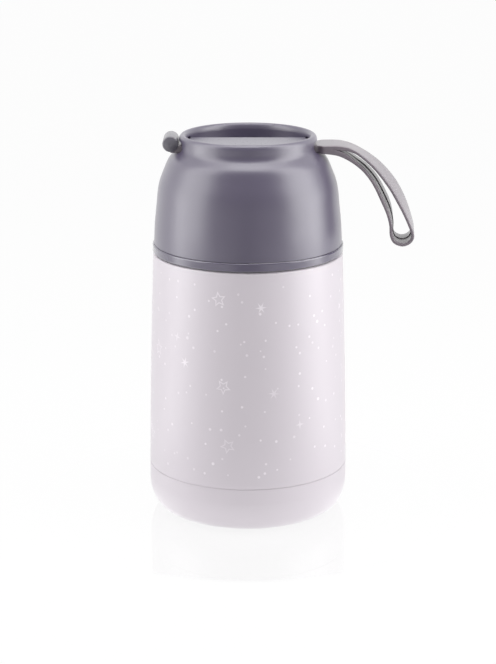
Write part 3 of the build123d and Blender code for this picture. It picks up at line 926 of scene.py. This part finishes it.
smooth(strap_mesh)
strap_mesh.materials.clear()
strap_mesh.materials.append(strap_silicone)
strap = add_object("carry_strap", strap_mesh)
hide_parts("strap_loop", "strap_anchor")
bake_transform(strap)
print("strap spans", [round(v / MM, 1) for v in strap.dimensions])

# %% [markdown]
# ## The bead
# A round bead at the other end is too thick for the slot, so it holds the strap in the lid. A
# cylinder would look too plain, so the bead is turned round its own axis like work on a lathe: a
# profile of radius against length, with rounded rims, a slight crown and the small pip that the
# mould leaves in each end.

# %% Lathe
def turned(name, profile, centre, axis_turns=64):
    """A solid turned about the Y direction through centre; profile is (radius, length)."""
    mesh = bpy.data.meshes.new(name)
    lathe = bmesh.new()
    rings = []
    for radius, length in profile:
        ring = []
        for count in range(axis_turns):
            angle = math.tau * count / axis_turns
            spot = Vector((radius * math.cos(angle), length, radius * math.sin(angle)))
            ring.append(lathe.verts.new(spot + Vector(centre)))
        rings.append(ring)
    for low, high in zip(rings, rings[1:]):
        for corners in zip(low, low[1:] + low[:1], high[1:] + high[:1], high):
            lathe.faces.new(corners)
    lathe.faces.new(reversed(rings[0]))
    lathe.faces.new(rings[-1])
    bmesh.ops.recalc_face_normals(lathe, faces=lathe.faces)
    lathe.to_mesh(mesh)
    lathe.free()
    return mesh


print("lathe ready")

# %% [markdown]
# The profile starts in the pip at the middle of one end, runs out over the crowned face, round the
# rim and along the side. The other end is the same line backwards, so only one has to be described.

# %% Profile of the bead
BEAD_Z = 195.9 * MM
BEAD_RADIUS = 4.05 * MM
BEAD_HALF = 9.65 * MM
BEAD_CROWN = 1.2 * MM
BEAD_EDGE = 0.9 * MM
FACE_STEPS = 6
RIM_STEPS = 6
PIP_RADIUS = 0.7 * MM
PIP_FLOOR = 0.7
PIP_MIDDLE = 0.05 * MM
PIP_DEPTH = 0.12 * MM


def rounded_rim(radius, length, edge, side):
    """Points of a rounded rim, from the end face to the side."""
    angles = [math.pi / 2 * count / RIM_STEPS for count in range(RIM_STEPS + 1)]
    return [
        (radius - edge + edge * math.sin(angle), side * (length - edge + edge * math.cos(angle)))
        for angle in angles
    ]


def crown(radius):
    """How far the end face stands back from its middle."""
    return BEAD_CROWN * (radius / BEAD_RADIUS) ** 2


face_end = BEAD_RADIUS - BEAD_EDGE
face_width = face_end - PIP_RADIUS
face_radii = [PIP_RADIUS + face_width * count / FACE_STEPS for count in range(FACE_STEPS)]
front_end = [
    (PIP_MIDDLE, -BEAD_HALF + PIP_DEPTH),
    (PIP_RADIUS * PIP_FLOOR, -BEAD_HALF + PIP_DEPTH),
    *[(radius, crown(radius) - BEAD_HALF) for radius in face_radii],
    *rounded_rim(BEAD_RADIUS, BEAD_HALF - crown(face_end), BEAD_EDGE, -1),
]
back_end = [(radius, -length) for radius, length in reversed(front_end)]
bead_profile = [*front_end, (BEAD_RADIUS, 0), *back_end]
print("bead profile points:", len(bead_profile))

# %% [markdown]
# The bead never leaves the lid, so it rides on the lid's body. It is of the same silicone as the
# strap, and its colour is darker only as painted shade.

# %% Turn the bead
bead_mesh = turned("strap_bead", bead_profile, (BEAD_X, 0, BEAD_Z))
smooth(bead_mesh)
bead_mesh.materials.append(bead_silicone_painted_shade)
bead = add_object("strap_bead", bead_mesh)
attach(bead, "lid")
print("bead", round(2 * BEAD_RADIUS / MM, 2), "mm across")

# %% [markdown]
# ## Floor
# The jar stands on a white sweep. A floor that is white only because lamps shine on it would need
# so much light that the jar would wash out. So the floor's white comes from a glow that only the
# camera, reflections and clear things see, and the floor still gives the jar its plain soft light.

# %% Floor plane
FLOOR_HALF = 4.0
FLOOR_WHITE = (0.90, 0.90, 0.90)

floor_mesh = bpy.data.meshes.new("floor")
corners = [(x * FLOOR_HALF, y * FLOOR_HALF, 0) for x, y in ((-1, -1), (1, -1), (1, 1), (-1, 1))]
floor_mesh.from_pydata(corners, [], [(0, 1, 2, 3)])
floor_white = new_finish("floor_white", FLOOR_WHITE, 0.5, Specular_IOR_Level=0.2)
seen = add_node(floor_white, "ShaderNodeLightPath").outputs
direct = step(floor_white, "MAXIMUM", seen["Is Camera Ray"], seen["Is Glossy Ray"])
direct = step(floor_white, "MAXIMUM", direct, seen["Is Transmission Ray"])
print("floor", 2 * FLOOR_HALF, "m square")

# %% [markdown]
# The jar's gloss shows the room round it, and a room is never white all over. The front of the
# room is dim, where the camera stands, so the front of the jar stays darker than its sides. The
# floor's glow is painted brighter beside the jar, under the side lamps, and at the jar's foot, as
# painted pools of light, and painted dim towards the front as painted shade. These changes are for
# reflections only, so they show on the jar as painted reflections: the camera itself sees an even
# white.

# %% Floor as the gloss sees it
FRONT_OF_ROOM = 0.35
FRONT_FLOOR = 0.30
SIDE_GLOW = 2.4
SIDE_START = (0.10, 0.25)
SIDE_DEPTH = (0.0, 0.12)
FOOT_GLOW = 1.75
FOOT_START = (0.07, 0.12)
FOOT_DEPTH = (-0.04, 0.04)


def brighter(full_glow, first_mask, second_mask):
    """Full glow where both masks are 1, and no change where one of them is 0."""
    mask = step(floor_white, "MULTIPLY", first_mask, second_mask)
    return step(floor_white, "MULTIPLY_ADD", mask, full_glow - 1, 1.0)


spot = split(floor_white, place(floor_white))
aside = step(floor_white, "ABSOLUTE", spot["X"])
inputs = [(0, place(floor_white))]
from_axis = add_node(floor_white, "ShaderNodeVectorMath", inputs, operation="LENGTH")
away = from_axis.outputs["Value"]
side_mask = fade(floor_white, aside, *SIDE_START)
side_depth = fade(floor_white, spot["Y"], *SIDE_DEPTH, to_low=1.0, to_high=0.0)
beside = brighter(SIDE_GLOW, side_mask, side_depth)
foot_mask = fade(floor_white, away, *FOOT_START, to_low=1.0, to_high=0.0)
foot_depth = fade(floor_white, spot["Y"], *FOOT_DEPTH, to_low=1.0, to_high=0.0)
at_foot = brighter(FOOT_GLOW, foot_mask, foot_depth)
mirrored_floor = fade(floor_white, spot["Y"], -FRONT_FLOOR, 0.0, FRONT_OF_ROOM, 1.0)
# Painted pools of light: the floor's glow beside the jar and at its foot, seen only in reflections.
painted_pool_of_light_glow = step(floor_white, "MAXIMUM", beside, at_foot)
mirrored_floor = step(floor_white, "MULTIPLY", mirrored_floor, painted_pool_of_light_glow)
mirrored_floor = step(floor_white, "MULTIPLY", mirrored_floor, seen["Is Glossy Ray"])
print("floor beside the jar glows", SIDE_GLOW, "times as bright in its gloss")

# %% [markdown]
# A white sweep like this one has a faint polish, so the jar's foot shows in it. A weak mirror is
# mixed over the glow for that. It ends a little way in front of the jar. Seen from the side or the
# back it would mirror the dim part of the room as a grey patch, so it is left out there.

# %% Floor as the camera sees it
WHITE = (1, 1, 1, 1)
GLOW_SHARE = 0.96
MIRROR_SHARE = 0.12
MIRROR_ROUGHNESS = 0.05
MIRROR_END = (0.111, 0.118)
MIRROR_SIDE = (-0.7, -0.4)

seen_floor = step(floor_white, "SUBTRACT", 1.0, seen["Is Glossy Ray"])
floor_strength = step(floor_white, "MAXIMUM", mirrored_floor, seen_floor)
glow_inputs = [("Color", WHITE), ("Strength", floor_strength)]
glow = add_node(floor_white, "ShaderNodeEmission", glow_inputs).outputs[0]
plain = shader_of(floor_white).outputs[0]
lit_floor = add_node(floor_white, "ShaderNodeMixShader", [(1, plain), (2, glow)])
feed(floor_white, lit_floor, 0, step(floor_white, "MULTIPLY", direct, GLOW_SHARE))
mirror_inputs = [("Color", WHITE), ("Roughness", MIRROR_ROUGHNESS)]
mirror = add_node(floor_white, "ShaderNodeBsdfGlossy", mirror_inputs).outputs[0]
towards = add_node(floor_white, "ShaderNodeNewGeometry").outputs["Incoming"]
viewed_from = split(floor_white, towards)["Y"]
from_front = fade(floor_white, viewed_from, *MIRROR_SIDE, 1.0, 0.0)
polish = step(floor_white, "MULTIPLY", seen["Is Camera Ray"], from_front)
near_jar = fade(floor_white, away, *MIRROR_END, MIRROR_SHARE, 0.0)
polish = step(floor_white, "MULTIPLY", polish, near_jar)
layered = [(0, polish), (1, lit_floor.outputs[0]), (2, mirror)]
finished_floor = add_node(floor_white, "ShaderNodeMixShader", layered).outputs[0]
floor_output = floor_white.node_tree.nodes["Material Output"]
feed(floor_white, floor_output, "Surface", finished_floor)
floor_mesh.materials.append(floor_white)
floor = add_object("floor", floor_mesh)
print("floor mirrors", MIRROR_SHARE, "of the jar near its foot")

# %% [markdown]
# ## World
# The world gives a low even light. It shows as white behind the jar and in clear things, and in
# the jar's gloss it runs from white at the back of the room to dim at the front, like the floor.

# %% World
AMBIENT = 0.35
BACKDROP_RANGE = (-0.3, 0.3)

world = bpy.data.worlds.new("white_room")
bpy.context.scene.world = world
world.use_nodes = True
paths = add_node(world, "ShaderNodeLightPath").outputs
view = split(world, add_node(world, "ShaderNodeTexCoord").outputs["Generated"])["Y"]
backdrop = fade(world, view, *BACKDROP_RANGE, to_low=FRONT_OF_ROOM, to_high=1.0)
mirrored = step(world, "MULTIPLY", paths["Is Glossy Ray"], backdrop)
mirrored = step(world, "MAXIMUM", mirrored, paths["Is Transmission Ray"])
mirrored = step(world, "MAXIMUM", mirrored, paths["Is Camera Ray"])
background = world.node_tree.nodes["Background"]
background.inputs["Color"].default_value = WHITE
brightness = step(world, "MAXIMUM", mirrored, AMBIENT)
feed(world, background, "Strength", brightness)
print("ambient light", AMBIENT)

# %% [markdown]
# ## Lamps
# Two tall soft boxes stand beside the jar, a little towards the camera and raised off the floor.
# Each one draws a wide bright band down a side of the jar. The right one is a little brighter, so
# the two sides differ. A third one above lights the top of the lid. A lamp's power is easier to
# judge as the brightness of its surface, so it is set from that and from its area.

# %% Soft boxes
BOX_DISTANCE = 0.46
BOX_WIDTH = 0.42
BOX_HEIGHT = 1.20
BOX_FOOT = 0.07
BOX_Y = -0.15
BOX_RADIANCE = 2.3
RIGHT_SHARE = 1.25
TOP_SIZE = 0.50
TOP_HEIGHT = 0.90
TOP_Y = -0.05
TOP_RADIANCE = 3.0


def soft_box(name, width, height, radiance, location, rotation):
    """An area lamp, set by the brightness of its surface, that the camera doesn't see."""
    data = bpy.data.lights.new(name, "AREA")
    data.shape = "RECTANGLE"
    data.size = width
    data.size_y = height
    data.energy = radiance * math.pi * width * height
    box = add_object(name, data)
    box.location = location
    box.rotation_euler = rotation
    box.visible_camera = False


for name, side, share in (("left_soft_box", -1, 1.0), ("right_soft_box", 1, RIGHT_SHARE)):
    centre = (side * BOX_DISTANCE, BOX_Y, BOX_FOOT + BOX_HEIGHT / 2)
    facing_jar = (math.pi / 2, 0, side * math.pi / 2)
    soft_box(name, BOX_WIDTH, BOX_HEIGHT, BOX_RADIANCE * share, centre, facing_jar)
soft_box("top_soft_box", TOP_SIZE, TOP_SIZE, TOP_RADIANCE, (0, TOP_Y, TOP_HEIGHT), (0, 0, 0))
bpy.context.scene.view_settings.view_transform = "Standard"
print("soft boxes", BOX_RADIANCE, "and above", TOP_RADIANCE)
